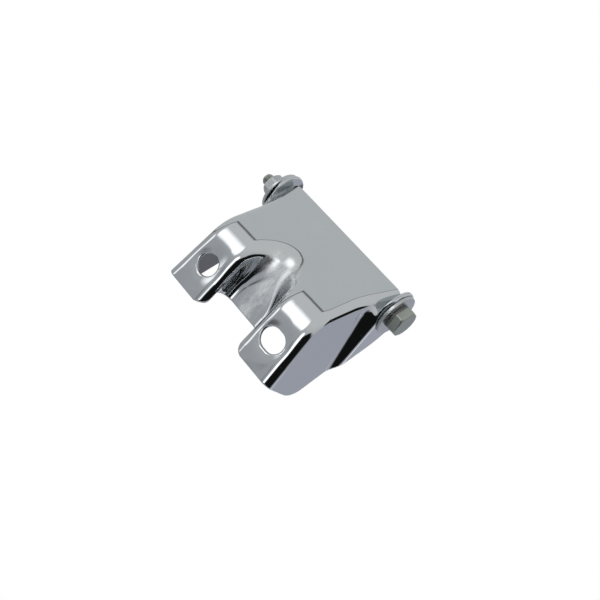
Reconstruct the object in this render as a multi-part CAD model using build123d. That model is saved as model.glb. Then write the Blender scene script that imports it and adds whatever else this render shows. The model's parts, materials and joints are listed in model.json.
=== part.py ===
"""Pressed steel tube bracket with a pivot bolt.

One sheet is pressed into a hood: two upright lugs at the front, a top plate that rises towards
the rear, two side cheeks, and an ear joggled outwards at the rear of each cheek.  Between the
lugs a half round relief takes an upright tube.  A shoulder bolt passes through both ears.

Frame: X runs across the bracket along the bolt, +Y points to the rear, +Z is up.  The front faces
of the lugs lie on Y = 0, and the origin is on that face, midway between the two lug holes.
Lengths are millimetres.
"""
from build123d import *
import math
import os

# ---- sheet -------------------------------------------------------------------------------
SHEET = 2.2                 # thickness of the pressed sheet
HALF_WIDTH = 35.3           # centre to the outside of a cheek, level with the lug holes
SPLAY_REAR = 0.10           # how much a cheek leans outwards for each millimetre to the rear
SPLAY_DOWN = 0.089          # the same for each millimetre down
RIDGE_RADIUS = 4.0          # outside radius between plate and cheek, and lug and cheek
BEND_RADIUS = 6.0           # outside radius between lug and plate

# ---- lugs --------------------------------------------------------------------------------
LUG_TOP = 19.6              # height of the sharp bend line above the hole centres
LUG_BOTTOM = -15.6          # height of the lower edge of the lugs
HOLE_SPACING = 47.0         # centre to centre of the two lug holes
HOLE_DIAMETER = 10.4        # round hole, and the width across the flats of the slot
SLOT_LENGTH = 12.4          # overall length of the slot, along X
LUG_CORNER = 6.0            # radius of the lower inner corner of a lug

# ---- plate -------------------------------------------------------------------------------
PLATE_RISE = 38.0           # angle of the plate above the horizontal, degrees
PLATE_LENGTH = 47.9         # sharp bend line to the rear edge, along the slope

# ---- tube relief -------------------------------------------------------------------------
TUBE_RADIUS = 12.0          # radius of the relief
RELIEF_ROLL = 5.0           # outside radius of the rolled lip round the relief
RELIEF_BOTTOM = -6.0        # height of the lower cut edge of the relief
MOUTH_HALF_WIDTH = 11.8     # half the gap between the lugs below the relief

# ---- cheeks and ears ---------------------------------------------------------------------
HEEL_Y = 24.0               # rear end of the lower edge of a cheek
HEEL_DROP = 2.2             # how far the heel lies below the lugs
HEEL_RADIUS = 6.0
JOGGLE_START = 26.5         # where a cheek starts to turn outwards, at JOGGLE_TOP
JOGGLE_TOP = 35.0           # height at which JOGGLE_START is measured
JOGGLE_LEAN = 0.206         # how far the joggle moves to the rear for each millimetre down
JOGGLE_LENGTH = 4.5         # run of the slanted shoulder along Y
JOGGLE = 5.7                # offset of the ear's outer face from HALF_WIDTH
JOGGLE_RADIUS = 1.6
SHOULDER_DEPTH = 5.0        # from the plate surface down to the web that joins cheek and ear
BOLT_Y = 40.0
BOLT_Z = 39.7
EAR_RADIUS = 11.6           # round end of the ear about the bolt
EAR_SKIRT = 16.5            # bolt centre to the rear edge of the ear, across the edge

# ---- bolt and its hardware ---------------------------------------------------------------
SHOULDER_DIAMETER = 8.0
SHOULDER_CLEARANCE = 0.2    # radial, shoulder in the ear holes
THREAD_DIAMETER = 6.0
HEAD_FLATS = 13.0
HEAD_HEIGHT = 4.2
HEAD_TURN = 20.0            # rest angle of the head about the bolt
HEX_CHAMFER = 30.0          # angle of the cone that takes back the corners of a hexagon, degrees
STUD_PROUD = 3.9            # thread standing out of the tightened nut
STEP_PAST_EAR = 0.15        # shoulder length left over, so that the ears can pivot
WASHER_DIAMETER = 21.6
WASHER_THICKNESS = 1.6
WASHER_CLEARANCE = 0.2      # radial, washer on shoulder or thread
LOCK_THICKNESS = 1.6
LOCK_WIDTH = 2.3
LOCK_GAP = 1.2
LOCK_SLANT = 30.0           # slant of the split, degrees
NUT_FLATS = 10.0
NUT_HEIGHT = 5.0
THREAD_CLEARANCE = 0.05     # radial, nut bore over the thread
FACE_GAP = 0.03             # film of clearance between faces that turn on each other
TIP_CHAMFER = 0.6           # at the end of the thread
RIM_SHARE = 0.12            # washer rim chamfer, as a share of the washer's thickness
NEAR = 0.01                 # two lengths closer than this count as equal

rise = math.radians(PLATE_RISE)
ear_face = HALF_WIDTH + JOGGLE
washer_face = ear_face + FACE_GAP                          # inner face of the head side washer
head_lock_face = washer_face + WASHER_THICKNESS + FACE_GAP
head_face = head_lock_face + LOCK_THICKNESS
shoulder_end = ear_face + STEP_PAST_EAR
nut_washer_face = shoulder_end + FACE_GAP
nut_lock_face = nut_washer_face + WASHER_THICKNESS + FACE_GAP
nut_face = nut_lock_face + LOCK_THICKNESS
stud_end = nut_face + NUT_HEIGHT + STUD_PROUD
FAR = 200.0                                                # reach of a cut that has no far side


def side_prism(points, half_width, radii=None):
    """A side outline of (y, z) points pushed out to both sides; radii gives some corners a fillet."""
    outline = Plane.YZ * make_face(Polyline(*points, close=True))
    for index, radius in (radii or {}).items():
        corner = Vector(0, *points[index])
        outline = fillet(outline.vertices().sort_by_distance(corner)[0], radius)
    return extrude(outline, half_width, both=True)


def along_plate(distance, depth):
    """Side view point on the plate: distance up the slope from the bend line, depth below it."""
    return (distance * math.cos(rise) + depth * math.sin(rise),
            LUG_TOP + distance * math.sin(rise) - depth * math.cos(rise))


def kept_side():
    """Everything above the cut lower edge and in front of the ears' rear edge, as one wide prism."""
    heel = (HEEL_Y, LUG_BOTTOM - HEEL_DROP)
    reach = math.hypot(BOLT_Y - heel[0], BOLT_Z - heel[1])
    lean = math.atan2(BOLT_Z - heel[1], BOLT_Y - heel[0]) - math.asin(EAR_SKIRT / reach)
    rear_y = BOLT_Y + EAR_RADIUS
    skirt = (rear_y, heel[1] + (rear_y - heel[0]) * math.tan(lean))
    points = [(0, LUG_BOTTOM), heel, skirt, (rear_y, FAR), (-FAR, FAR), (-FAR, LUG_BOTTOM)]
    return side_prism(points, FAR, {1: HEEL_RADIUS, 2: EAR_RADIUS / 2})


def hood_skin(inset):
    """The hood as a solid, its skin moved inwards by inset; the inner one runs out at the rear."""
    bend_z = LUG_TOP - inset * (1 - math.sin(rise)) / math.cos(rise)
    rear = along_plate(PLATE_LENGTH + (FAR if inset else 0), inset)
    points = [(inset, -FAR), (inset, bend_z), rear]
    if not inset:
        points += [along_plate(PLATE_LENGTH, SHOULDER_DEPTH)]
    points += [(points[-1][0], -FAR)]
    hood = side_prism(points, FAR, {1: BEND_RADIUS - inset}) & between_cheeks(inset)
    rims = [edge for edge in hood.edges()
            if on_cheek(edge.center(), inset)
            and distance_to_front(edge @ 0.5, inset) < BEND_RADIUS / 2
            and distance_to_front(edge @ 0.2, inset) < BEND_RADIUS / 2
            and edge.center().Z > -FAR / 2]
    hood = fillet(rims, RIDGE_RADIUS - inset) - Cylinder(TUBE_RADIUS + inset, 3 * FAR)
    lips = [edge for edge in hood.edges()
            if on_tube(edge, TUBE_RADIUS + inset) and edge.center().Z > -FAR / 2]
    return fillet(lips, RELIEF_ROLL - inset)


def between_cheeks(inset):
    """The space between the two leaning cheek planes, each moved inwards by inset."""
    outward = Vector(1, -SPLAY_REAR, SPLAY_DOWN).normalized()
    plane = Plane(origin=Vector(HALF_WIDTH, 0, 0) - outward * inset, z_dir=outward)
    side = plane * Pos(0, 0, -FAR) * Box(6 * FAR, 6 * FAR, 2 * FAR)
    return side & mirror(side, Plane.YZ)


def on_cheek(point, inset):
    """True when the point lies on one of the leaning cheek planes, moved inwards by inset."""
    lean = math.hypot(1, SPLAY_REAR, SPLAY_DOWN)
    plane_x = HALF_WIDTH + SPLAY_REAR * point.Y - SPLAY_DOWN * point.Z - lean * inset
    return abs(abs(point.X) - plane_x) < NEAR


def distance_to_front(point, inset):
    """How far a point lies behind the lug face or below the plate, whichever is nearer."""
    behind_lug = point.Y - inset
    below_plate = (LUG_TOP - point.Z) * math.cos(rise) + point.Y * math.sin(rise) - inset
    return min(abs(behind_lug), abs(below_plate))


def on_tube(edge, radius):
    """True when both ends and the middle of the edge lie on the upright tube of that radius."""
    return all(abs(math.hypot(point.X, point.Y) - radius) < NEAR
               for point in (edge @ 0.0, edge @ 0.5, edge @ 1.0))


def behind_joggle(inset):
    """The space behind the two slanted shoulder planes, each moved inwards by inset.

    A shoulder plane runs outwards by JOGGLE over JOGGLE_LENGTH and leans back towards its foot."""
    outward = Vector(JOGGLE_LENGTH, -JOGGLE, -JOGGLE * JOGGLE_LEAN).normalized()
    start = Vector(HALF_WIDTH, JOGGLE_START, JOGGLE_TOP)
    plane = Plane(origin=start - outward * inset, z_dir=outward)
    side = plane * Pos(0, 0, -FAR) * Box(6 * FAR, 6 * FAR, 2 * FAR)
    return side & mirror(side, Plane.YZ)


def ear_box(inset):
    """The wider box behind the joggles, below the shoulder web, its skin moved inwards by inset.

    Its slanted front walls run on inwards, to a front face that lies inside the hood."""
    front = JOGGLE_START - JOGGLE_LENGTH
    web = SHOULDER_DEPTH + inset
    web_front = (front, LUG_TOP + front * math.tan(rise) - web / math.cos(rise))
    web_rear = along_plate(PLATE_LENGTH + (FAR if inset else 0), web)
    wide = ear_face - inset
    box = side_prism([(front, -FAR), web_front, web_rear, (web_rear[0], -FAR)], wide) & behind_joggle(inset)
    corners = [edge for edge in box.edges()
               if abs(abs(edge.center().X) - wide) < NEAR
               and abs((edge @ 0).Z - (edge @ 1).Z) > SHOULDER_DEPTH
               and abs((edge @ 0).Y - (edge @ 1).Y) < abs((edge @ 0).Z - (edge @ 1).Z) / 2]
    corners = [edge for edge in corners if edge.center().Y < web_rear[0] - NEAR]
    return fillet(corners, JOGGLE_RADIUS)


def ear_plates():
    """The flat ears, with their round ends standing a little above the shoulder web."""
    front, rear_y = JOGGLE_START + JOGGLE_LENGTH, BOLT_Y + EAR_RADIUS
    flat = side_prism([(front, -FAR), (front, BOLT_Z), (rear_y, BOLT_Z), (rear_y, -FAR)], ear_face)
    flat &= behind_joggle(0)
    flat += Pos(0, BOLT_Y, BOLT_Z) * Rot(0, 90, 0) * Cylinder(EAR_RADIUS, 2 * ear_face)
    return flat - Box(2 * (ear_face - SHEET), 2 * FAR, 2 * FAR)


def lug_mouth():
    """Cutter for the gap between the lugs below the relief, with rounded lower lug corners."""
    depth = 4 * TUBE_RADIUS
    mouth = Pos(0, 0, RELIEF_BOTTOM - FAR / 2) * Box(2 * MOUTH_HALF_WIDTH, depth, FAR)
    roll_start = RELIEF_ROLL - SHEET / 2
    wall = Box(2 * (TUBE_RADIUS + RELIEF_ROLL), depth / 2, FAR)
    mouth += Pos(0, roll_start + depth / 4, RELIEF_BOTTOM - FAR / 2) * wall
    corner = Box(LUG_CORNER, depth, 2 * LUG_CORNER, align=(Align.MIN, Align.CENTER, Align.CENTER))
    corner -= Pos(LUG_CORNER, 0, LUG_CORNER) * Rot(90, 0, 0) * Cylinder(LUG_CORNER, 2 * depth)
    corner = Pos(MOUTH_HALF_WIDTH, 0, LUG_BOTTOM) * corner
    mouth += corner + mirror(corner, Plane.YZ)
    return mouth


def lug_holes():
    """Cutters for the round hole in the left lug and the short level slot in the right lug."""
    reach = 4 * TUBE_RADIUS
    hole = Pos(-HOLE_SPACING / 2, 0, 0) * Rot(90, 0, 0) * Cylinder(HOLE_DIAMETER / 2, reach)
    slot_face = Plane.XZ * SlotOverall(SLOT_LENGTH, HOLE_DIAMETER)
    return hole + Pos(HOLE_SPACING / 2, 0, 0) * extrude(slot_face, reach / 2, both=True)


def on_bolt_axis(x):
    """Places a piece built along +Z so that it stands on the bolt axis and points along +X."""
    return Pos(x, BOLT_Y, BOLT_Z) * Rot(0, 90, 0)


def bracket_body():
    """The pressing: hood, ears, tube relief, lug holes and bolt holes."""
    body = hood_skin(0) + ear_box(0) - hood_skin(SHEET) - ear_box(SHEET) + ear_plates()
    body &= kept_side()
    body -= lug_mouth()
    body -= lug_holes()
    body -= on_bolt_axis(0) * Cylinder(SHOULDER_DIAMETER / 2 + SHOULDER_CLEARANCE, 3 * ear_face)
    return body


def hexagon_prism(flats, height, chamfered_ends):
    """Hexagon prism from Z = 0 to height with its corners taken back by a cone at the named ends."""
    corner_radius = flats / math.sqrt(3)
    prism = extrude(RegularPolygon(corner_radius, 6), height)
    for z, up in ((height, 1), (0, -1)):
        if up in chamfered_ends:
            drop = (corner_radius - flats / 2) * math.tan(math.radians(HEX_CHAMFER))
            keep = Cone(corner_radius, flats / 2, drop, align=(Align.CENTER, Align.CENTER, Align.MIN))
            rest = Cylinder(corner_radius, height - drop, align=(Align.CENTER, Align.CENTER, Align.MIN))
            form = rest + Pos(0, 0, height - drop) * keep
            prism &= form if up > 0 else Pos(0, 0, height) * Rot(180, 0, 0) * form
    return prism


def ring(outer, bore, thickness):
    """Flat washer from Z = 0 to its thickness, with its rim softened."""
    disc = Cylinder(outer / 2, thickness, align=(Align.CENTER, Align.CENTER, Align.MIN))
    disc = chamfer(disc.edges(), RIM_SHARE * thickness)
    return disc - Cylinder(bore / 2, 3 * thickness)


def lock_washer(bore):
    """Split spring washer squeezed flat, with a slanting gap through one side."""
    washer = ring(bore + 2 * LOCK_WIDTH, bore, LOCK_THICKNESS)
    gap = Rot(LOCK_SLANT, 0, 0) * Box(4 * LOCK_WIDTH, LOCK_GAP, 4 * LOCK_THICKNESS)
    return washer - Pos(bore / 2 + LOCK_WIDTH, 0, LOCK_THICKNESS / 2) * gap


def pivot_bolt():
    """Hexagon head, plain shoulder through both ears and a thinner threaded end."""
    head = Rot(0, 0, HEAD_TURN) * hexagon_prism(HEAD_FLATS, HEAD_HEIGHT, (1,))
    bottom = (Align.CENTER, Align.CENTER, Align.MAX)
    shoulder = Cylinder(SHOULDER_DIAMETER / 2, head_face + shoulder_end, align=bottom)
    stud = Cylinder(THREAD_DIAMETER / 2, head_face + stud_end, align=bottom)
    tip = stud.edges().filter_by(GeomType.CIRCLE).sort_by(Axis.Z)[0]
    return on_bolt_axis(head_face) * (head + shoulder + chamfer(tip, TIP_CHAMFER))


def flat_washer(bore_for, inner_face, side):
    """Flat washer for a shank of the given diameter, standing outside one ear."""
    washer = ring(WASHER_DIAMETER, bore_for + 2 * WASHER_CLEARANCE, WASHER_THICKNESS)
    return on_bolt_axis(inner_face if side > 0 else -inner_face - WASHER_THICKNESS) * washer


def spring_washer(bore_for, inner_face, side):
    """Split washer for a shank of the given diameter, standing outside one flat washer."""
    washer = lock_washer(bore_for + 2 * WASHER_CLEARANCE)
    return on_bolt_axis(inner_face if side > 0 else -inner_face - LOCK_THICKNESS) * washer


def hex_nut():
    """Plain hexagon nut on the threaded end."""
    nut = hexagon_prism(NUT_FLATS, NUT_HEIGHT, (1, -1))
    nut -= Cylinder(THREAD_DIAMETER / 2 + THREAD_CLEARANCE, 3 * NUT_HEIGHT)
    return on_bolt_axis(-nut_face - NUT_HEIGHT) * nut


pieces = {
    "bracket_body": bracket_body(),
    "pivot_bolt": pivot_bolt(),
    "head_flat_washer": flat_washer(SHOULDER_DIAMETER, washer_face, 1),
    "head_lock_washer": spring_washer(SHOULDER_DIAMETER, head_lock_face, 1),
    "nut_flat_washer": flat_washer(THREAD_DIAMETER, nut_washer_face, -1),
    "nut_lock_washer": spring_washer(THREAD_DIAMETER, nut_lock_face, -1),
    "hex_nut": hex_nut(),
}

os.makedirs("parts", exist_ok=True)
for name, shape in pieces.items():
    export_step(shape, "parts/" + name + ".step")
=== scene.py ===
# %% [markdown]
# # A pressed steel tube bracket with a cross bolt
# The bracket is one sheet of steel, pressed and chromed, held by one bolt through its two ears.
# The design is already packed as a frame: its bodies, joints and sizes are fixed.  This lesson
# gives it its looks: a smooth pressed skin, turned and forged hardware, and the light of a studio.

# %% Load the frame
import json
import math

import bpy
import numpy as np
from mathutils import Matrix, Vector


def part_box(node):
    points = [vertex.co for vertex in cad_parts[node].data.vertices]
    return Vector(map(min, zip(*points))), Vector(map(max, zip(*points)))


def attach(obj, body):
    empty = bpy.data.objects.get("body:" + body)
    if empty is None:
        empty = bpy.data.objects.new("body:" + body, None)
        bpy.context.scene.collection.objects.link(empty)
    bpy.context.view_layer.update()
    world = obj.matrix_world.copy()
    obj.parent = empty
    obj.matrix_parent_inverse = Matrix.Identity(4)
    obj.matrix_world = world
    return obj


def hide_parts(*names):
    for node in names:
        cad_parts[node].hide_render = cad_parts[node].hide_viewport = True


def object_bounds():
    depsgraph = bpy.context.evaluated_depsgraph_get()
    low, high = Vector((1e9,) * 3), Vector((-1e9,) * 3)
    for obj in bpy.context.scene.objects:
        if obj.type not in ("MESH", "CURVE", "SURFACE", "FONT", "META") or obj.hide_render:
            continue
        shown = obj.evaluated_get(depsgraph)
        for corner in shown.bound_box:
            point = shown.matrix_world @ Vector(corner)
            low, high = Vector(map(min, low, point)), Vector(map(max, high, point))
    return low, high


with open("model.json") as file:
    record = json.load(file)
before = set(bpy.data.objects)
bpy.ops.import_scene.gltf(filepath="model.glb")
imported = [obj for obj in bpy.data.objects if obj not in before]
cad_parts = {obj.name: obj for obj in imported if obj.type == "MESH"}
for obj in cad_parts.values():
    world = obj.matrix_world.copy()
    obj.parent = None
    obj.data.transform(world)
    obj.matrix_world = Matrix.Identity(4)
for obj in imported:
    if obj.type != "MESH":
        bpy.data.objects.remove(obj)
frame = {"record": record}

MM = 0.001                                     # one millimetre in scene units
cad_low, cad_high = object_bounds()
mounts = {mount["name"]: mount for mount in frame["record"]["mounts"]}
body_low, body_high = (np.array(corner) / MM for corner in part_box("bracket_body"))
print("the bracket in millimetres:", body_low.round(2), "to", body_high.round(2))

# %% [markdown]
# ## The pressing as a distance function
# On the real object a flat blank is pressed over a block, so every bend is round and the sheet
# keeps its thickness.  Boxes with bevels would show flat strips in the chrome.  Here the skin is
# described by a function that gives, for any point, its distance to the skin, below zero inside.
# Two such shapes are joined or cut with a circular blend, which is what a press does to a corner.

# %% Blends between distance functions
def round_both(a, b, radius):
    """Keeps what is inside both shapes.  The corner between them becomes an arc: where both
    distances are above minus radius, the result is the length of the two excesses less radius."""
    corner = np.hypot(np.maximum(a + radius, 0), np.maximum(b + radius, 0))
    return np.minimum(np.maximum(a, b), -radius) + corner


def round_either(a, b, radius):
    """Joins two shapes with a hollow arc, the mirror image of round_both."""
    return -round_both(-a, -b, radius)


# %% [markdown]
# ## Sizes of the pressing
# A press tool is drawn with few sizes, and each is named here.  The places of the holes and of the
# bolt are not typed in again: they are read from the mounts of the frame, so the looks follow them.

# %% Sizes of the pressing, in millimetres
SHEET = 2.2
HALF_WIDTH, SPLAY_REAR, SPLAY_DOWN = 35.3, 0.10, 0.089   # the cheeks lean out to the rear and the foot
FLARE, FLARE_START, FLARE_PAST_END = 4.6, 22.0, 6.0      # the plate widens towards the ears
FLARE_DEPTHS = (9.0, 4.0)                      # depth below the plate where the flare ends, and is full
LUG_TOP, LUG_BOTTOM = 19.6, -15.6
LUG_BEND, CHEEK_BEND, LIP_RADIUS = 7.5, 4.5, 5.0         # lug to plate, cheek to both, lip of the relief
PLATE_RISE = math.radians(38.0)
PLATE_LENGTH = 47.9
TUBE_RADIUS = 12.0
RELIEF_BOTTOM, RELIEF_ROUND = -6.0, 20.0       # the relief's foot, and the height where it is fully round
RELIEF_CORNER = 4.5                            # corner radius of the relief at its lower end
MOUTH_HALF_WIDTH, MOUTH_LIMIT = 11.8, 17.0     # the gap between the lugs, and how far its cut may reach
LUG_CORNER, LUG_DEPTH = 6.5, 3.9
JOGGLE_START, JOGGLE_LENGTH, JOGGLE_TOP, JOGGLE_LEAN = 26.5, 4.5, 35.0, 0.206
SHOULDER_DEPTH = 5.0                           # from the plate down to the top of the shoulder
SHOULDER_TOP_BEND = 2.0
SHOULDER_LEAD = 3.0                            # nothing of the shoulder lies further forward than this
SHOULDER_HOLLOW = 2.4                          # radius of the hollow bend between cheek and shoulder
EAR_BEND, INNER_BEND = 2.0, 0.3                # bend between shoulder and ear, outside and least inside
HEEL_Y, HEEL_Z, HEEL_RADIUS = 24.0, -17.8, 6.0
EAR_RADIUS, EAR_SKIRT = 11.6, 16.5
BOLT_HOLE_RADIUS = 4.2
SLOT_HALF = 1.0                                # half of what the slot is longer than a round hole
HOLES_END = 6.0                                # the lug holes are cut no further back than this
EDGE_ROUND = 0.8                               # the cut edge of the sheet, polished before plating
PLATE_WAVE, LUG_WAVE = 0.02, 0.10              # depth of the polishing hollows
DISH_DEPTH, DISH_REACH = 0.30, 2.4             # how far the punch draws the lug in, and how wide

ear_face = body_high[0]
hole_radius = mounts["lug_hole"]["dims"]["r_mm"]
hole_x = abs(mounts["lug_hole"]["pos_m"][0]) / MM
slot_x = mounts["lug_slot"]["pos_m"][0] / MM
bolt_y, bolt_z = (value / MM for value in mounts["pivot_span"]["pos_m"][1:])
print("ear face at", round(float(ear_face), 2), "bolt at", round(bolt_y, 2), round(bolt_z, 2))

# %% [markdown]
# ## Hood and shoulders
# The outside of the bracket is a hood: lug plane, plate and two cheeks, pressed in by the upright
# tube.  Behind the shoulders it steps out to a wider box that carries the ears.  Each is one
# distance function, and the bend between them is the blend of the two.

# %% Hood and shoulders
def ramp(value, start, end):
    """Smooth step: 0 before start, 1 after end, with a level start and finish."""
    share = np.clip((value - start) / (end - start), 0, 1)
    return share * share * (3 - 2 * share)


def plate_coordinates(y, z):
    """Height above the plate and distance up its slope, both from the top of the lugs."""
    run, rise = math.cos(PLATE_RISE), math.sin(PLATE_RISE)
    return (z - LUG_TOP) * run - y * rise, y * run + (z - LUG_TOP) * rise


def tube_relief(x, y, z):
    """Distance inside the room for the tube: a rounded square whose corner radius grows with
    height, until it is the half circle of the tube."""
    corner = RELIEF_CORNER + (TUBE_RADIUS - RELIEF_CORNER) * ramp(z, 0.0, RELIEF_ROUND)
    across = np.abs(x) - TUBE_RADIUS + corner
    along = y - TUBE_RADIUS + corner
    outside = np.hypot(np.maximum(across, 0), np.maximum(along, 0))
    return corner - (outside + np.minimum(np.maximum(across, along), 0))


def hood_skin(x, y, z):
    """Outside of the hood: behind the lug plane, below the plate plane and between the cheeks,
    less the upright tube.  Each pair meets in an arc of its own radius."""
    above_plate, up_slope = plate_coordinates(y, z)
    flare = FLARE * ramp(up_slope, FLARE_START, PLATE_LENGTH + FLARE_PAST_END)
    flare = flare * ramp(-above_plate, *FLARE_DEPTHS)
    cheek = np.abs(x) - HALF_WIDTH - SPLAY_REAR * y + SPLAY_DOWN * z - flare
    hood = round_both(-y, above_plate, LUG_BEND)
    hood = round_both(hood, cheek, CHEEK_BEND)
    return round_both(hood, tube_relief(x, y, z), LIP_RADIUS)


def shoulder_wall(x, y, z):
    """Distance to the slanted front wall of a shoulder, which leans back towards its foot."""
    run = math.hypot(ear_face - HALF_WIDTH, JOGGLE_LENGTH)
    across, along = (ear_face - HALF_WIDTH) / run, JOGGLE_LENGTH / run
    start = JOGGLE_START + JOGGLE_LEAN * (JOGGLE_TOP - z)
    return (np.abs(x) - HALF_WIDTH) * along - (y - start) * across


def ear_box_skin(x, y, z):
    """The wider box behind the shoulders, open to the sides, with a top parallel to the plate."""
    above_plate = plate_coordinates(y, z)[0]
    box = round_both(shoulder_wall(x, y, z), above_plate + SHOULDER_DEPTH, SHOULDER_TOP_BEND)
    return np.maximum(box, JOGGLE_START - SHOULDER_LEAD - y)


def layer(hood, box, x, depth):
    """The skin at a depth below the outside: hood and box joined by the hollow bend, and then cut
    by the flat faces of the two ears."""
    joined = round_either(hood + depth, box + depth, SHOULDER_HOLLOW + depth)
    return round_both(joined, np.abs(x) - ear_face + depth, max(EAR_BEND - depth, INNER_BEND))


# %% [markdown]
# ## Cuts, ears and polish
# The blank is trimmed by shears and pierced by punches, and the edges are then polished.  The
# punch draws the sheet in a little, and the wheel leaves long shallow hollows.  In chrome these show
# more than the outline does, so they belong to the shape and not to the material.

# %% Cuts, ears and polish
def kept_outline(y, z):
    """Side view of what the shears leave: above the lower edge and the slanting rear edge."""
    slope = (HEEL_Z - LUG_BOTTOM) / HEEL_Y
    below = (LUG_BOTTOM + slope * y - z) / math.hypot(1, slope)
    reach = math.hypot(bolt_y - HEEL_Y, bolt_z - HEEL_Z)
    lean = math.atan2(bolt_z - HEEL_Z, bolt_y - HEEL_Y) - math.asin(EAR_SKIRT / reach)
    behind = (y - HEEL_Y) * math.sin(lean) - (z - HEEL_Z) * math.cos(lean)
    return round_both(round_both(below, behind, HEEL_RADIUS), y - bolt_y - EAR_RADIUS, EAR_RADIUS / 2)


def lug_mouth(x, y, z):
    """Distance inside the gap between the lugs, which has a round corner at the foot of each lug."""
    lug = round_both(MOUTH_HALF_WIDTH - np.abs(x), LUG_BOTTOM - z, LUG_CORNER)
    lug = np.maximum(lug, np.minimum(MOUTH_LIMIT - np.abs(x), y - LUG_DEPTH))
    return np.minimum(np.minimum(RELIEF_BOTTOM - z, lug), MOUTH_LIMIT - np.abs(x))


def lug_holes(x, z):
    """Distance inside the round hole of the left lug or the level slot of the right one."""
    round_hole = hole_radius - np.hypot(x + hole_x, z)
    slot = hole_radius - np.hypot(np.maximum(np.abs(x - slot_x) - SLOT_HALF, 0), z)
    return np.maximum(round_hole, slot)


def ear_plates(x, y, z, from_bolt, waves):
    """The two flat ears: one sheet thick, round about the bolt, and behind the shoulder wall."""
    ear = round_both(shoulder_wall(x, y, z), np.abs(x) - ear_face, EAR_BEND) + waves
    ear = np.maximum(ear, ear_face - SHEET - np.abs(x))
    return round_both(ear, np.minimum(from_bolt - EAR_RADIUS, z - bolt_z), EDGE_ROUND)


def polish_waves(x, y, z):
    """The slight hollows that hand polishing leaves, as products of long sine waves.  They are
    deeper on the lugs than on the plate and the cheeks."""
    slow = np.sin(x / 3.7 + 1.1) * np.sin(z / 4.3 + y / 6.1)
    slow = slow + np.sin(y / 4.9 + z / 7.3 + 0.6) * np.sin(x / 6.7)
    on_lugs = ramp(z + y, 24.0, 10.0) * ramp(np.abs(x), 34.0, 29.0)
    return np.abs(PLATE_WAVE * slow + LUG_WAVE * on_lugs * slow)


def dished_holes(from_edge, y):
    """How far the punch has drawn the lug in round its holes: a bell curve of the distance from
    the hole's edge, on the lugs alone."""
    return DISH_DEPTH * np.exp(-(np.maximum(from_edge, 0) / DISH_REACH) ** 2) * ramp(y, 6.0, 2.5)


def pressing(x, y, z):
    """Distance to the whole pressing.  The sheet is the layer between its skin and the same skin
    SHEET deeper; the ears, edges and holes are then cut with EDGE_ROUND."""
    hood, box = hood_skin(x, y, z), ear_box_skin(x, y, z)
    hole, waves = lug_holes(x, z), polish_waves(x, y, z)
    outside = layer(hood, box, x, 0) + waves + dished_holes(-hole, y)
    sheet = np.maximum(outside, -layer(hood, box, x, SHEET))
    sheet = round_both(sheet, plate_coordinates(y, z)[1] - PLATE_LENGTH, EDGE_ROUND)
    from_bolt = np.hypot(y - bolt_y, z - bolt_z)
    sheet = np.minimum(sheet, ear_plates(x, y, z, from_bolt, waves))
    holes = np.maximum(np.where(y < HOLES_END, hole, -np.inf), BOLT_HOLE_RADIUS - from_bolt)
    cut = np.maximum(np.maximum(kept_outline(y, z), lug_mouth(x, y, z)), holes)
    return round_both(sheet, cut, EDGE_ROUND)


def depth_share(points):
    """0 on the outside of the sheet and 1 on its inside, with a short change across the cut edge."""
    x, y, z = points.T
    return ramp(-layer(hood_skin(x, y, z), ear_box_skin(x, y, z), x, 0), 0.7, 1.7)


# %% [markdown]
# ## From distance to mesh
# A grid of small cells is laid over the shape.  Every cell that the surface crosses gets one
# vertex, and every grid line that the surface crosses gets one quad between its four cells.  The
# vertices are then slid along the slope of the function until they lie on the surface, and the
# slope itself is kept as the shading normal, so that reflections run as on polished metal.

# %% Mesh of a distance function
CELL, MARGIN = 0.54, 1.4                       # size of a grid cell, and free room round the body
SLIDES, LONGEST_SLIDE = 5, 0.3                 # slides onto the surface, each at most this share of a cell


def slope_of(shape, points, step=0.02):
    """Central differences of the function along the three axes."""
    sides = [np.eye(3)[axis] * step for axis in range(3)]
    rises = [shape(*(points + side).T) - shape(*(points - side).T) for side in sides]
    return np.stack(rises, 1) / (2 * step)


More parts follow.
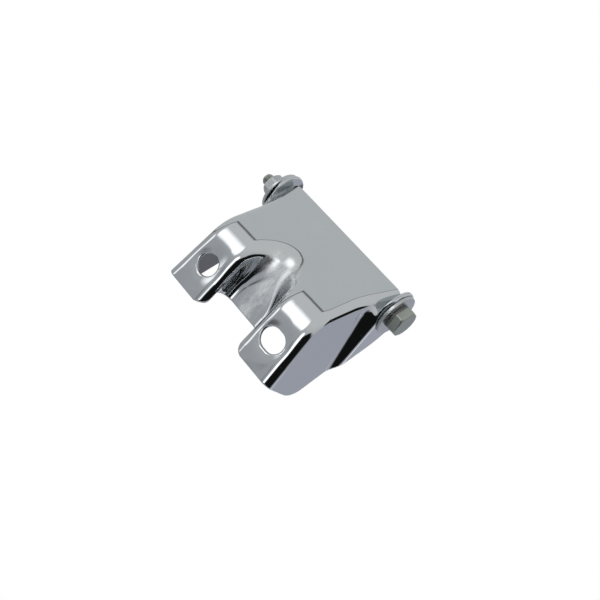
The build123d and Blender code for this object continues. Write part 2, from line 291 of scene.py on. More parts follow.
def surface_mesh(shape, low, high, cell):
    """Vertices, quads and normals of the zero surface of shape between two corners."""
    counts = np.ceil((high - low) / cell).astype(int) + 1
    axes = [low[axis] + cell * np.arange(counts[axis]) for axis in range(3)]
    value = shape(*np.meshgrid(*axes, indexing="ij")).astype(np.float64)
    total, crossings = np.zeros((*(counts - 1), 3)), np.zeros(counts - 1)
    inside, quads = value < 0, []
    number = np.full(counts - 1, -1)
    for axis in range(3):
        before, after = [slice(None)] * 3, [slice(None)] * 3
        before[axis], after[axis] = slice(None, -1), slice(1, None)
        a, b = value[tuple(before)], value[tuple(after)]
        where = np.argwhere((a < 0) != (b < 0))
        share = a[tuple(where.T)] / (a[tuple(where.T)] - b[tuple(where.T)])
        point = where * cell + low
        point[:, axis] += share * cell
        others = [other for other in range(3) if other != axis]
        for shift_u in (0, 1):
            for shift_v in (0, 1):
                home = where.copy()
                home[:, others[0]] -= shift_u
                home[:, others[1]] -= shift_v
                np.add.at(total, tuple(home.T), point)
                np.add.at(crossings, tuple(home.T), 1)
        quads.append((axis, where, inside[tuple(before)][tuple(where.T)], others))
    used = crossings > 0
    number[used] = np.arange(used.sum())
    points = total[used] / crossings[used][:, None]
    faces = []
    for axis, where, starts_inside, others in quads:
        ring = []
        for shift_u, shift_v in ((0, 0), (1, 0), (1, 1), (0, 1)):
            home = where.copy()
            home[:, others[0]] -= shift_u
            home[:, others[1]] -= shift_v
            ring.append(number[tuple(home.T)])
        ring = np.stack(ring, 1)
        turned = starts_inside ^ (axis == 1)
        faces.append(np.where(turned[:, None], ring, ring[:, ::-1]))
    for _ in range(SLIDES):
        slope = slope_of(shape, points)
        move = shape(*points.T)[:, None] * slope / np.maximum((slope ** 2).sum(1), 0.25)[:, None]
        points = points - np.clip(move, -LONGEST_SLIDE * cell, LONGEST_SLIDE * cell)
    slope = slope_of(shape, points)
    return points, np.concatenate(faces), slope / np.linalg.norm(slope, axis=1)[:, None]


def make_object(name, points, faces, normals=None, body="bracket"):
    """Puts millimetre points and their faces into a smooth mesh object that rides on a body."""
    mesh = bpy.data.meshes.new(name)
    mesh.from_pydata((points * MM).tolist(), [], faces if isinstance(faces, list) else faces.tolist())
    mesh.shade_smooth()
    if normals is not None:
        mesh.normals_split_custom_set_from_vertices(normals.tolist())
    piece = bpy.data.objects.new(name, mesh)
    bpy.context.scene.collection.objects.link(piece)
    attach(piece, body)
    return piece


# %% The pressing as an object
points, faces, normals = surface_mesh(pressing, body_low - MARGIN, body_high + MARGIN, CELL)
bracket = make_object("bracket_skin", points, faces, normals)
inner_side = bracket.data.attributes.new("inner_side", "FLOAT", "POINT")
inner_side.data.foreach_set("value", depth_share(points))
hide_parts("bracket_body")
print("pressing:", len(points), "vertices", len(faces), "quads")
print("skin box:", points.min(0).round(2), points.max(0).round(2))

# %% [markdown]
# ## Turned and forged hardware
# Bolt, nut and washers are all shapes about the bolt axis.  They could be cylinders with booleans,
# but one formula covers them: at every station along the axis the radius is the smaller of a round
# profile and a hexagon.  Taking the smaller softly leaves the small rounded edges of forging.  The
# thread is the same formula again, with a radius that winds round as it goes along.

# %% Shapes about the bolt axis
STEPS = 144                                    # divisions round the axis, a multiple of six
hardware = {node: [np.array(corner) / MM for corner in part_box(node)] for node in (
    "pivot_bolt", "head_flat_washer", "head_lock_washer", "nut_flat_washer", "nut_lock_washer", "hex_nut")}


def hexagon_radius(angle, flats, softness=46.0):
    """Distance from centre to the side of a hexagon.  Its inverse is the power sum of the six
    cosines towards the flats, which rounds the corners; flats is the width across them."""
    towards = [np.maximum(np.cos(angle - k * math.pi / 3), 0) ** softness for k in range(6)]
    return flats / 2 / sum(towards) ** (1 / softness)


def softly_smaller(a, b, softness=40.0):
    """The smaller of two radii, with a rounded change between them."""
    return (a ** -softness + b ** -softness) ** (-1 / softness)


def turned_piece(stations, flats=None, turn=0.0, pitch=0.0, ring=False):
    """Grid of points about the bolt axis.  Each station is (x, radius, thread depth); a point lies
    at radius less the thread wave, which advances one pitch a turn, and inside the hexagon.  A ring
    joins its last station to its first; otherwise both ends close in a point on the axis."""
    stations = np.array(stations, float)
    x, radius, depth = (stations[:, k][:, None] for k in range(3))
    angle = np.linspace(0, 2 * math.pi, STEPS, endpoint=False)[None, :]
    if pitch:
        phase = (x / pitch + angle / (2 * math.pi)) % 1
        radius = radius - depth * np.clip(2.4 * np.abs(phase - 0.5) - 0.1, 0, 1)
    radius = radius + 0 * angle
    if flats:
        outer = softly_smaller(radius, hexagon_radius(angle - turn, flats))
        radius = np.where(stations[:, 1][:, None] > flats / 2 * 0.8, outer, radius)
    points = np.stack([x + 0 * angle, bolt_y + radius * np.cos(angle), bolt_z + radius * np.sin(angle)], -1)
    rows, count = points.shape[0], points.shape[0] * STEPS
    row = np.arange(rows if ring else rows - 1)[:, None]
    column = np.arange(STEPS)[None, :]
    corners = [(row, column), (row + 1, column), (row + 1, column + 1), (row, column + 1)]
    faces = np.stack([(r % rows) * STEPS + c % STEPS for r, c in corners], -1).reshape(-1, 4)
    points = points.reshape(-1, 3)
    if not ring:
        poles = [[stations[0, 0], bolt_y, bolt_z], [stations[-1, 0], bolt_y, bolt_z]]
        points = np.concatenate([points, poles])
        column = np.arange(STEPS)
        after = (column + 1) % STEPS
        first = np.stack([np.full(STEPS, count), column, after], 1)
        last = np.stack([np.full(STEPS, count + 1), count - STEPS + after, count - STEPS + column], 1)
        return points, [*faces.tolist(), *first.tolist(), *last.tolist()]
    return points, faces.tolist()


def rounded_section(x_low, x_high, r_low, r_high, round_radius, arc_steps=5):
    """Stations round a rectangular section, anticlockwise from its lower left, with arcs at its
    four corners."""
    quarter = np.linspace(0, math.pi / 2, arc_steps)
    centres = [(x_high, r_high, 0), (x_low, r_high, 1), (x_low, r_low, 2), (x_high, r_low, 3)]
    stations = []
    for x, r, quarters in centres:
        centre_x = x - math.copysign(round_radius, x - (x_low + x_high) / 2)
        centre_r = r - math.copysign(round_radius, r - (r_low + r_high) / 2)
        stations += [(centre_x + round_radius * math.cos(a), centre_r + round_radius * math.sin(a), 0.0)
                     for a in quarter + quarters * math.pi / 2]
    return stations


# %% [markdown]
# ## Flat washers
# A flat washer is stamped from sheet, so its edges are a little round.  A cylinder with a hole would
# have sharp ones that catch no light.  Its place and its outside come from the node it replaces.

# %% Flat washers
SHOULDER_RADIUS, THREAD_RADIUS, THREAD_PITCH, THREAD_DEPTH = 4.0, 3.0, 1.0, 0.45
WASHER_CLEARANCE, WASHER_EDGE = 0.2, 0.35
head_bore = SHOULDER_RADIUS + WASHER_CLEARANCE
nut_bore = THREAD_RADIUS + WASHER_CLEARANCE


def flat_washer(name, node, bore_radius, body):
    """A stamped washer: one rounded section carried round the axis."""
    low, high = hardware[node]
    outer = (high[1] - low[1]) / 2
    stations = rounded_section(low[0], high[0], bore_radius, outer, WASHER_EDGE)
    piece = make_object(name, *turned_piece(stations, ring=True), body=body)
    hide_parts(node)
    print(name, "outer radius", round(float(outer), 2))
    return piece


head_washer = flat_washer("washer_head_side", "head_flat_washer", head_bore, "head_washer")
nut_washer = flat_washer("washer_nut_side", "nut_flat_washer", nut_bore, "nut_washer")

# %% [markdown]
# ## Split washers
# A spring washer is a square wire wound once and cut.  It is a section carried along an arc that
# stops short of a full turn, with its two ends closed, so the slanting split is real geometry.

# %% Split washers
SPLIT_ANGLE, SPLIT_SLANT = 0.20, 0.18          # half the open angle of the split, and its slant, radians
WIRE_EDGE = 0.22                               # rounding of the square wire


def split_washer(name, node, bore_radius, body):
    """A rounded section carried round most of a turn.  The ends slant, because each point of the
    section starts a little later the further it lies along the axis."""
    low, high = hardware[node]
    outer = (high[1] - low[1]) / 2
    section = np.array(rounded_section(low[0], high[0], bore_radius, outer, WIRE_EDGE))[:, :2]
    arc = np.linspace(SPLIT_ANGLE, 2 * math.pi - SPLIT_ANGLE, STEPS)[:, None]
    slant = SPLIT_SLANT * (section[:, 0] - section[:, 0].mean()) / np.ptp(section[:, 0])
    angle = arc + slant[None, :]
    radius = section[:, 1][None, :]
    points = np.stack([section[:, 0][None, :] + 0 * angle, bolt_y + radius * np.cos(angle),
                       bolt_z + radius * np.sin(angle)], -1).reshape(-1, 3)
    count = len(section)
    row, column = np.arange(STEPS - 1)[:, None], np.arange(count)[None, :]
    corners = [(row, column), (row, column + 1), (row + 1, column + 1), (row + 1, column)]
    faces = np.stack([r * count + c % count for r, c in corners], -1).reshape(-1, 4).tolist()
    faces += [list(range(count))[::-1], list(range((STEPS - 1) * count, STEPS * count))]
    piece = make_object(name, points, faces, body=body)
    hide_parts(node)
    print(name, "section", count, "points")
    return piece


head_split = split_washer("split_washer_head_side", "head_lock_washer", head_bore, "bolt")
nut_split = split_washer("split_washer_nut_side", "nut_lock_washer", nut_bore, "nut")

# %% [markdown]
# ## Bolt and nut
# The bolt is forged: a hexagon head with a coned top, a plain shoulder, and a rolled thread.  The
# nut has a cone at both ends.  On the real bolt the thread runs into a short groove at the
# shoulder, so the wave fades out there.

# %% Bolt
head_end, stud_end = hardware["pivot_bolt"][1][0], hardware["pivot_bolt"][0][0]
under_head = hardware["head_lock_washer"][1][0]
shoulder_end = hardware["nut_flat_washer"][1][0] + 0.03
HEAD_FLATS, HEAD_TURN = 13.0, math.radians(20.0)
TOP_SHARE, CONE = 0.93, math.tan(math.radians(30))       # flat top against the flats, slope of the cone
ROOT = 0.2                                     # the groove between shoulder and thread, below the crests
FADE_LENGTH, STUD_CHAMFER, CHAMFER_DROP = 1.5, 0.9, 0.75


def level(x, radii):
    """Stations of a flat ring at one place of the axis."""
    return [(x, radius, 0.0) for radius in radii]


def straight(places, radius):
    """Stations of a plain cylinder."""
    return [(x, radius, 0.0) for x in places]


def hexagon_cone(x_top, inward, flats):
    """Stations of the cone that takes back a hexagon's corners, from the top down to the corners."""
    top, corner = flats / 2 * TOP_SHARE, flats / math.sqrt(3) * 1.03
    return [(x_top + inward * (radius - top) * CONE, radius, 0.0) for radius in np.linspace(top, corner, 9)]


def bolt_head():
    """From the middle of the head's top, over its corners, to the shoulder."""
    cone = hexagon_cone(head_end, -1, HEAD_FLATS)
    foot, corner = cone[-1][0], cone[-1][1]
    sides = straight(np.linspace(foot, under_head + 0.25, 4)[1:], corner)
    sides += [(under_head + 0.08, corner - 0.1, 0.0), (under_head, corner - 0.3, 0.0)]
    return level(head_end, (2.0, 4.0, 5.6)) + cone + sides + level(under_head, (6.0, 5.0, 4.15))


def bolt_shoulder():
    """The plain part, with a small chamfer where it ends."""
    stations = [(under_head - 0.15, SHOULDER_RADIUS, 0.0)]
    stations += straight(np.linspace(under_head - 1.0, shoulder_end + 0.3, 12), SHOULDER_RADIUS)
    stations += [(shoulder_end + 0.06, SHOULDER_RADIUS - 0.08, 0.0)]
    return stations + level(shoulder_end, (SHOULDER_RADIUS - 0.3, THREAD_RADIUS - ROOT))


def bolt_thread():
    """The thread, which fades in from its groove and out over the chamfer at the end."""
    places = np.arange(shoulder_end - 0.1, stud_end + STUD_CHAMFER, -0.06)
    shares = np.clip((shoulder_end - places) / FADE_LENGTH, 0, 1)
    stations = [(x, THREAD_RADIUS - ROOT * (1 - share), THREAD_DEPTH * share)
                for x, share in zip(places, shares)]
    stations += [(stud_end + STUD_CHAMFER * (1 - share), THREAD_RADIUS - CHAMFER_DROP * share,
                  THREAD_DEPTH * (1 - share) ** 2) for share in np.linspace(0, 1, 12)]
    return stations + level(stud_end, (1.6, 0.8))


bolt_stations = bolt_head() + bolt_shoulder() + bolt_thread()
bolt_mesh = turned_piece(bolt_stations, HEAD_FLATS, HEAD_TURN, THREAD_PITCH)
bolt = make_object("bolt_with_thread", *bolt_mesh, body="bolt")
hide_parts("pivot_bolt")
print("bolt:", len(bolt.data.vertices), "vertices")

# %% Nut
NUT_FLATS, NUT_BORE, BORE_CHAMFER, NUT_FACE = 10.0, 3.05, 0.5, 4.1
nut_low, nut_high = hardware["hex_nut"][0][0], hardware["hex_nut"][1][0]
up_side = hexagon_cone(nut_high, -1, NUT_FLATS)
down_side = hexagon_cone(nut_low, 1, NUT_FLATS)[::-1]
sides = straight(np.linspace(up_side[-1][0], down_side[0][0], 5)[1:-1], up_side[-1][1])
nut_stations = level(nut_high - BORE_CHAMFER, (NUT_BORE,))
nut_stations += level(nut_high, (NUT_BORE + BORE_CHAMFER, NUT_FACE))
nut_stations += up_side + sides + down_side
nut_stations += level(nut_low, (NUT_FACE, NUT_BORE + BORE_CHAMFER))
nut_stations += level(nut_low + BORE_CHAMFER, (NUT_BORE,))
nut = make_object("nut_with_cones", *turned_piece(nut_stations, NUT_FLATS, ring=True), body="nut")
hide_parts("hex_nut")
print("nut:", len(nut.data.vertices), "vertices")

# %% [markdown]
# ## Helpers for materials
# A material in Blender is a tree of nodes.  Adding each by hand takes many lines, so five small
# helpers do it: one adds a node, one feeds a socket, and three return a sum, a mix or a soft step.

# %% Node helpers
def add_node(tree, kind, **settings):
    """Adds a node and sets its properties."""
    node = tree.nodes.new(kind)
    for key, value in settings.items():
        setattr(node, key, value)
    return node


def feed(tree, socket, source):
    """Links a socket to a source socket, or sets it when the source is a plain value."""
    if hasattr(source, "is_output"):
        tree.links.new(source, socket)
    else:
        socket.default_value = source


def math_node(tree, operation, *values):
    """One Math node; returns its result."""
    node = add_node(tree, "ShaderNodeMath", operation=operation)
    for socket, value in zip(node.inputs, values):
        feed(tree, socket, value)
    return node.outputs[0]


def mix_colour(tree, share, first, second):
    """Mixes two colours by a share."""
    node = add_node(tree, "ShaderNodeMix", data_type="RGBA")
    for socket, value in zip((node.inputs[0], node.inputs[6], node.inputs[7]), (share, first, second)):
        feed(tree, socket, value)
    return node.outputs[2]


def smooth_step(tree, value, start, end):
    """Rises smoothly from 0 at start to 1 at end."""
    node = add_node(tree, "ShaderNodeMapRange", interpolation_type="SMOOTHSTEP")
    for socket, item in zip(node.inputs, (value, start, end)):
        feed(tree, socket, item)
    return node.outputs[0]


# %% [markdown]
# ## Finishes
# A plated surface is never even.  The same four effects show on every piece here, each by its own
# amount: clouds in the plating, fine polishing lines, small pits, and a blotchy grain where the
# polishing wheel can't reach.  Each effect is a node group, so a finish is a few amounts.

# %% Effects as node groups
def new_group(name, numbers, outputs):
    """A node group that takes a position and numbers and gives colours or values."""
    group = bpy.data.node_groups.new(name, "ShaderNodeTree")
    group.interface.new_socket("Position", in_out="INPUT", socket_type="NodeSocketVector")
    for label, value in numbers.items():
        socket = group.interface.new_socket(label, in_out="INPUT", socket_type="NodeSocketFloat")
        socket.default_value = value
    for label in outputs:
        group.interface.new_socket(label, in_out="OUTPUT", socket_type="NodeSocketFloat")
    return group, add_node(group, "NodeGroupInput").outputs, add_node(group, "NodeGroupOutput").inputs


def noise(tree, position, scale, detail=3.0, roughness=0.5, kind="ShaderNodeTexNoise"):
    """One noise value from 0 to 1."""
    node = add_node(tree, kind)
    feed(tree, node.inputs["Vector"], position)
    feed(tree, node.inputs["Scale"], scale)
    if kind == "ShaderNodeTexNoise":
        node.inputs["Detail"].default_value = detail
        node.inputs["Roughness"].default_value = roughness
        return node.outputs["Factor" if "Factor" in node.outputs else "Fac"]
    return node.outputs["Distance"]


def stretched(tree, position, factors, turn=(0.0, 0.0, 0.0)):
    """The position turned and then scaled by a factor along each axis."""
    node = add_node(tree, "ShaderNodeMapping")
    feed(tree, node.inputs["Vector"], position)
    node.inputs["Rotation"].default_value = turn
    node.inputs["Scale"].default_value = factors
    return node.outputs["Vector"]


def plating_clouds():
    """Soft uneven tone of the plating: coarse and fine noise added, centred on zero."""
    group, inputs, outputs = new_group("plating_clouds", {"Size": 60.0, "Amount": 0.1}, ("Tone", "Height"))
    coarse = noise(group, inputs["Position"], inputs["Size"])
    fine = noise(group, inputs["Position"], math_node(group, "MULTIPLY", inputs["Size"], 7.0))
    coarse, fine = math_node(group, "MULTIPLY", coarse, 0.65), math_node(group, "MULTIPLY", fine, 0.35)
    both = math_node(group, "ADD", coarse, fine)
    centred = math_node(group, "SUBTRACT", both, 0.5)
    feed(group, outputs["Tone"], math_node(group, "MULTIPLY_ADD", centred, inputs["Amount"], 1.0))
    feed(group, outputs["Height"], centred)
    return group


def polishing_lines():
    """Fine lines: the product of two noises, each stretched far along its polishing direction."""
    group, inputs, outputs = new_group("polishing_lines", {"Amount": 0.1}, ("Line",))
    long_strokes = stretched(group, inputs["Position"], (60.0, 2600.0, 2600.0))
    cross_strokes = stretched(group, inputs["Position"], (1900.0, 70.0, 1900.0), (0.3, 0.2, 0.5))
    along = noise(group, long_strokes, 1.0, 2.0)
    arcs = noise(group, cross_strokes, 1.0, 2.0)
    lines = math_node(group, "MULTIPLY", along, arcs)
    feed(group, outputs["Line"], math_node(group, "MULTIPLY", lines, inputs["Amount"]))
    return group


def small_pits():
    """Scattered pits and specks: the near side of a cell pattern, kept only in a few cells."""
    group, inputs, outputs = new_group("small_pits", {"Density": 900.0, "Size": 0.12}, ("Pit",))
    distance = noise(group, inputs["Position"], inputs["Density"], kind="ShaderNodeTexVoronoi")
    few = noise(group, inputs["Position"], 260.0, 1.0)
    limit = math_node(group, "MULTIPLY", inputs["Size"], smooth_step(group, few, 0.50, 0.75))
    feed(group, outputs["Pit"], math_node(group, "LESS_THAN", distance, limit))
    return group


def blotchy_grain():
    """Cloudy blotches with ragged edges, streaked along Z, as on unpolished plating."""
    group, inputs, outputs = new_group("blotchy_grain", {"Size": 150.0}, ("Blotch", "Height"))
    position = stretched(group, inputs["Position"], (1.0, 1.0, 0.45))
    cloud = noise(group, position, inputs["Size"], 6.0, 0.62)
    ragged = noise(group, position, math_node(group, "MULTIPLY", inputs["Size"], 4.5), 5.0, 0.7)
    mixed = math_node(group, "MULTIPLY_ADD", ragged, 0.35, math_node(group, "MULTIPLY", cloud, 0.75))
    feed(group, outputs["Blotch"], smooth_step(group, mixed, 0.44, 0.66))
    feed(group, outputs["Height"], mixed)
    return group


BUILDERS = (plating_clouds, polishing_lines, small_pits, blotchy_grain)
EFFECTS = {build.__name__: build() for build in BUILDERS}
print("effects:", ", ".join(EFFECTS))


# %% Finish from effects
def place_effect(tree, name, position, **amounts):
    """Puts an effect group into a material, with its own amounts."""
    node = add_node(tree, "ShaderNodeGroup", node_tree=EFFECTS[name])
    tree.links.new(position, node.inputs["Position"])
    for label, value in amounts.items():
        feed(tree, node.inputs[label], value)
    return node.outputs


def scaled_colour(tree, colour, factor):
    """A colour times a value."""
    node = add_node(tree, "ShaderNodeVectorMath", operation="SCALE")
    feed(tree, node.inputs[0], colour if hasattr(colour, "is_output") else colour[:3])
    feed(tree, node.inputs["Scale"], factor)
    return node.outputs[0]


def plated_metal(name, colour, roughness, clouds, lines, pits, bump_distance, cloud_size=60.0):
    """A plated metal.  The clouds tint the colour, lines and clouds widen the gloss, and lines,
    clouds and pits give the height; returns the material and the sockets that a finish adds to."""
    material = bpy.data.materials.new(name)
    material.use_nodes = True
    tree = material.node_tree
    shader = tree.nodes["Principled BSDF"]
    shader.inputs["Metallic"].default_value = 1.0
    position = add_node(tree, "ShaderNodeTexCoord").outputs["Object"]
    cloud = place_effect(tree, "plating_clouds", position, Size=cloud_size, Amount=clouds)
    line = place_effect(tree, "polishing_lines", position, Amount=lines)
    pit = place_effect(tree, "small_pits", position, Size=pits)
    tone = math_node(tree, "MULTIPLY_ADD", pit["Pit"], -0.35, cloud["Tone"])
    tint = scaled_colour(tree, colour, tone)
    gloss = math_node(tree, "MULTIPLY_ADD", cloud["Height"], roughness, roughness)
    gloss = math_node(tree, "ADD", gloss, line["Line"])
    height = math_node(tree, "MULTIPLY_ADD", line["Line"], 0.6, cloud["Height"])
    height = math_node(tree, "MULTIPLY_ADD", pit["Pit"], -0.8, height)
    bump = add_node(tree, "ShaderNodeBump")
    bump.inputs["Strength"].default_value = 1.0
    bump.inputs["Distance"].default_value = bump_distance
    for socket, source in ((shader.inputs["Base Color"], tint), (shader.inputs["Roughness"], gloss),
                           (bump.inputs["Height"], height), (shader.inputs["Normal"], bump.outputs[0])):
        tree.links.new(source, socket)
    return material, shader, bump, position


# %% [markdown]
# ## Chrome
# The pressing is polished outside, where the wheel reaches, and left as plated in the tube relief
# and behind the hood.  The relief is found from Object coordinates: it is what lies within a few
# millimetres of the upright tube.  The inside is found from the attribute inner_side.  There the
# gloss is widened as on unpolished plating, and the colour is darkened as painted shade for the
# hollow behind the hood.  A second material on those faces would leave a hard border, so one
# chrome blends between the grades.

# %% Chrome plate
# INNER_PAINTED_SHADE is painted shade: the inside of the sheet is tinted near black, as if the hollow
# behind the hood lay in shade
BLOTCH_WHITE, INNER_PAINTED_SHADE = (0.86, 0.87, 0.87, 1.0), (0.15, 0.155, 0.16)
RELIEF_EDGES = (14.2 * MM, 11.6 * MM)          # distance from the tube's axis: polished, and unpolished
FAR_WALL = (-10.5 * MM, -8.5 * MM)             # the wheel does reach the wall on the left of the relief


def unpolished_share(tree, position):
    """1 in the tube relief and 0 outside it, from Object coordinates."""
    split = add_node(tree, "ShaderNodeSeparateXYZ")
    tree.links.new(position, split.inputs[0])
    across, behind = split.outputs[0], split.outputs[1]
    squares = [math_node(tree, "MULTIPLY", side, side) for side in (across, behind)]
    from_tube = math_node(tree, "SQRT", math_node(tree, "ADD", *squares))
    return math_node(tree, "MULTIPLY", smooth_step(tree, from_tube, *RELIEF_EDGES),
                     smooth_step(tree, across, *FAR_WALL))


def chrome_plate():
    """Mirror chrome, blending into blotchy unpolished plating near the tube.  Behind the skin it blends
    into a wider gloss and a near-black colour, which is painted shade.
    """
    colour = (0.60, 0.625, 0.64, 1.0)
    material, shader, bump, position = plated_metal(
        "chrome_plate", colour, roughness=0.045, clouds=0.10, lines=0.05, pits=0.10,
        bump_distance=0.00002, cloud_size=45.0)
    tree = material.node_tree
    base, gloss, height = (socket.links[0].from_socket for socket in (
        shader.inputs["Base Color"], shader.inputs["Roughness"], bump.inputs["Height"]))
    inner = add_node(tree, "ShaderNodeAttribute", attribute_name="inner_side").outputs["Fac"]
    unpolished = unpolished_share(tree, position)
    grain = place_effect(tree, "blotchy_grain", position, Size=150.0)
    share = math_node(tree, "MULTIPLY", unpolished, grain["Blotch"])
    cloudy = place_effect(tree, "plating_clouds", position, Size=90.0, Amount=0.8)["Tone"]
    tint = mix_colour(tree, share, base, BLOTCH_WHITE)
    # painted shade: the inside of the sheet is mixed towards a near-black colour; only its wider gloss
    # below stands for unpolished plating
    tint = mix_colour(tree, inner, tint, scaled_colour(tree, INNER_PAINTED_SHADE, cloudy))
    for amount, widening in ((unpolished, 0.20), (share, 0.14), (inner, 0.26)):
        gloss = math_node(tree, "MULTIPLY_ADD", amount, widening, gloss)
    rough = math_node(tree, "MULTIPLY", grain["Height"], unpolished)
    height = math_node(tree, "ADD", height, math_node(tree, "MULTIPLY", rough, 4.0))
    for socket, source in ((shader.inputs["Base Color"], tint), (shader.inputs["Roughness"], gloss),
                           (bump.inputs["Height"], height)):
        tree.links.new(source, socket)
    return material


bracket.data.materials.append(chrome_plate())

# %% [markdown]
# ## Zinc and spring steel
# The bolt is dull zinc with a green cast, the washers are brighter zinc, and the split washers are
# dark, which is painted shade for the gap between the flat washer and the bolt head or nut where they sit.
# They share every effect with the chrome, so only colour, roughness and amounts differ.

# %% Hardware finishes
FINISHES = {
    "bolt_zinc": dict(colour=(0.40, 0.43, 0.39, 1.0), roughness=0.30, clouds=0.55, lines=0.35,
                      pits=0.16, bump_distance=0.00003, cloud_size=160.0),
    "washer_steel": dict(colour=(0.56, 0.58, 0.59, 1.0), roughness=0.20, clouds=0.35, lines=0.30,
                         pits=0.12, bump_distance=0.000012, cloud_size=120.0),
    # painted shade: the split washers get a dark colour that stands for the shade in the gap between the
    # flat washer and the bolt head or nut
    "spring_steel": dict(colour=(0.20, 0.20, 0.19, 1.0), roughness=0.34, clouds=0.50, lines=0.30,
                         pits=0.14, bump_distance=0.00003, cloud_size=200.0),
    "nut_zinc": dict(colour=(0.50, 0.52, 0.53, 1.0), roughness=0.24, clouds=0.45, lines=0.30,
                     pits=0.14, bump_distance=0.00002, cloud_size=160.0),
}
WEARS = {"bolt_zinc": (bolt,), "washer_steel": (head_washer, nut_washer),
         "spring_steel": (head_split, nut_split), "nut_zinc": (nut,)}
for finish, amounts in FINISHES.items():
    material = plated_metal(finish, **amounts)[0]
    for piece in WEARS[finish]:
        piece.data.materials.append(material)
    print(finish, "on", ", ".join(piece.name for piece in WEARS[finish]))

# %% [markdown]
# ## The camera
# The bracket is looked at from its right and a little above, with a rolled camera, so that it seems
# to lie on its side, as small parts are often shown.  The roll is a turn about the line of sight.
# A Track To constraint would undo it, so the camera's matrix is worked out.

# %% Camera
camera = bpy.data.objects.new("camera", bpy.data.cameras.new("camera"))
bpy.context.scene.collection.objects.link(camera)
bpy.context.scene.camera = camera
camera.data.lens, camera.data.sensor_width = 54.0, 36.0
VIEW_AZIMUTH, VIEW_ELEVATION, VIEW_ROLL = 22.6, 11.4, 43.6
VIEW_DISTANCE = 408.0 * MM
AIM_POINT = Vector((7.90, 29.54, 14.06)) * MM  # from the origin, between the two lug holes


def aim_camera(view_azimuth, view_elevation, view_roll, distance, aim):
    """Stands the camera at a distance from the aim point, in the direction of the two angles, and
    then rolls it about its line of sight."""
    az, el = math.radians(view_azimuth), math.radians(view_elevation)
    forward = Vector((-math.sin(az) * math.cos(el), math.cos(az) * math.cos(el), -math.sin(el)))
    level = Vector((math.cos(az), math.sin(az), 0))
    upright = level.cross(forward)
    roll = math.radians(view_roll)
    right = level * math.cos(roll) + upright * math.sin(roll)
    up = upright * math.cos(roll) - level * math.sin(roll)
    place = aim - forward * distance
    camera.matrix_world = Matrix((
        (right.x, up.x, -forward.x, place.x), (right.y, up.y, -forward.y, place.y),
        (right.z, up.z, -forward.z, place.z), (0, 0, 0, 1)))


aim_camera(VIEW_AZIMUTH, VIEW_ELEVATION, VIEW_ROLL, VIEW_DISTANCE, AIM_POINT)
print("camera at", [round(place / MM, 1) for place in camera.matrix_world.translation], "mm")

# %% [markdown]
# ## The studio
# Chrome shows nothing but its surroundings, so the light is built as surroundings.  The object
# stands in a white tent: an even dome, a soft top, a few lamps, and black flags that draw the bends
# of the pressing.  A world shader can hold all of this.  It is chosen over lamp objects because a
# soft edge in the reflection is one number here, the width of a ramp.

# %% Surroundings
def grey(level, tint=(1.0, 1.0, 1.0)):
    """A light level with a tint, as a colour."""
    return (level * tint[0], level * tint[1], level * tint[2], 1.0)


def facing(tree, direction, toward):
    """Cosine of the angle between the looked-up direction and a fixed one."""
    node = add_node(tree, "ShaderNodeVectorMath", operation="DOT_PRODUCT")
    tree.links.new(direction, node.inputs[0])
    node.inputs[1].default_value = Vector(toward).normalized()
    return node.outputs["Value"]


def toward(azimuth, elevation):
    """Direction from its angle about Z, counted from +X towards +Y, and its height in degrees."""
    turn, lift = math.radians(azimuth), math.radians(elevation)
    return (math.cos(turn) * math.cos(lift), math.sin(turn) * math.cos(lift), math.sin(lift))


def patch(base, centre, full_within, none_beyond, colour):
    """Lays a round patch with a soft edge over the dome; the two radii are in degrees."""
    edges = [math.cos(math.radians(angle)) for angle in (none_beyond, full_within)]
    return mix_colour(tree, smooth_step(tree, facing(tree, sight, toward(*centre)), *edges), base, colour)


# %% Patches of the tent
FLAG = grey(0.008)
OVERHEAD = (162, 37)
PATCHES = (                                    # direction, full within, none beyond, light
    (OVERHEAD, 44.0, 48.0, grey(0.10)),                          # dark rim of the overhead light
    (OVERHEAD, 41.0, 44.5, grey(0.66, (0.97, 1.0, 1.0))),        # overhead light, seen in the plate
    ((58, -8), 10, 40, grey(0.50, (0.92, 0.95, 1.08))),          # bluish wall, seen in the cheek
    ((2, -22), 17, 28, FLAG),                                    # black flags, seen in the shoulder
    ((46, -17), 2, 9, grey(1.2)),                                # slit beside them, for the ear's bend
    ((-24, -20), 27, 33, FLAG),
    ((29, 21), 9, 13, FLAG),                                     # flag for the ridge over the cheek
    ((-113, 16), 3, 19, grey(1.9)),                              # lamp for the bends over the lugs
    ((-68, -6), 7, 14, grey(2.2)),                               # lamp for the edges of the lugs
    ((-100, -24), 3, 12, grey(0.16)),                            # dark spot for the feet of the lugs
    ((-135, -10), 4, 14, grey(1.5)),                             # lamp for their left sides
)

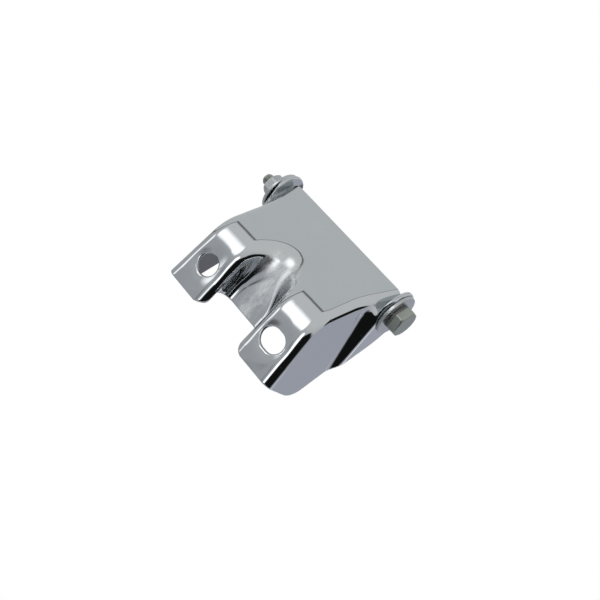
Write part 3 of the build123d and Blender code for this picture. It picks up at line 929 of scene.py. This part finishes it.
world = bpy.data.worlds.new("studio")
bpy.context.scene.world = world
world.use_nodes = True
tree = world.node_tree
backdrop = tree.nodes["Background"]
sight = add_node(tree, "ShaderNodeTexCoord").outputs["Generated"]
height = facing(tree, sight, (0, 0, 1))
dome = mix_colour(tree, smooth_step(tree, height, -0.45, 0.60), grey(0.46, (0.95, 0.98, 1.03)), grey(0.72))
for light in PATCHES:
    dome = patch(dome, *light)
tree.links.new(dome, backdrop.inputs["Color"])
white = add_node(tree, "ShaderNodeBackground")
white.inputs["Color"].default_value = grey(1.0)
seen = add_node(tree, "ShaderNodeMixShader")
tree.links.new(add_node(tree, "ShaderNodeLightPath").outputs["Is Camera Ray"], seen.inputs[0])
tree.links.new(backdrop.outputs[0], seen.inputs[1])
tree.links.new(white.outputs[0], seen.inputs[2])
tree.links.new(seen.outputs[0], tree.nodes["World Output"].inputs["Surface"])
bpy.context.scene.view_settings.view_transform = "Standard"
print("studio:", len(tree.nodes), "nodes of light and dark")

# %% [markdown]
# ## The floor
# The bracket rests on plain white.  A real sheet of white card would also show in the chrome and
# draw a line across the cheek, so each kind of ray is given its own floor.

# %% Floor
FLOOR_SIZE, FLOOR_GAP = 2.0, 0.2 * MM


def pale_floor(size, height):
    """A square floor.  The camera sees it plain white, matt light bounces off it, and reflections
    pass through it to the tent below, so that it draws no edge in the chrome."""
    corners = np.array([(-1, -1), (1, -1), (1, 1), (-1, 1)]) * size / 2
    mesh = bpy.data.meshes.new("floor")
    mesh.from_pydata([(x, y, height) for x, y in corners], [], [(0, 1, 2, 3)])
    floor = bpy.data.objects.new("floor", mesh)
    bpy.context.scene.collection.objects.link(floor)
    material = bpy.data.materials.new("floor_white")
    material.use_nodes = True
    tree = material.node_tree
    matt = tree.nodes["Principled BSDF"]
    matt.inputs["Base Color"].default_value = grey(0.85)
    matt.inputs["Roughness"].default_value = 0.9
    ray = add_node(tree, "ShaderNodeLightPath").outputs
    surface = matt.outputs[0]
    for kind, shown in (("Is Glossy Ray", "ShaderNodeBsdfTransparent"),
                        ("Is Camera Ray", "ShaderNodeEmission")):
        mix = add_node(tree, "ShaderNodeMixShader")
        tree.links.new(ray[kind], mix.inputs[0])
        tree.links.new(surface, mix.inputs[1])
        tree.links.new(add_node(tree, shown).outputs[0], mix.inputs[2])
        surface = mix.outputs[0]
    tree.links.new(surface, tree.nodes["Material Output"].inputs["Surface"])
    mesh.materials.append(material)
    return floor


pale_floor(FLOOR_SIZE, cad_low[2] - FLOOR_GAP)
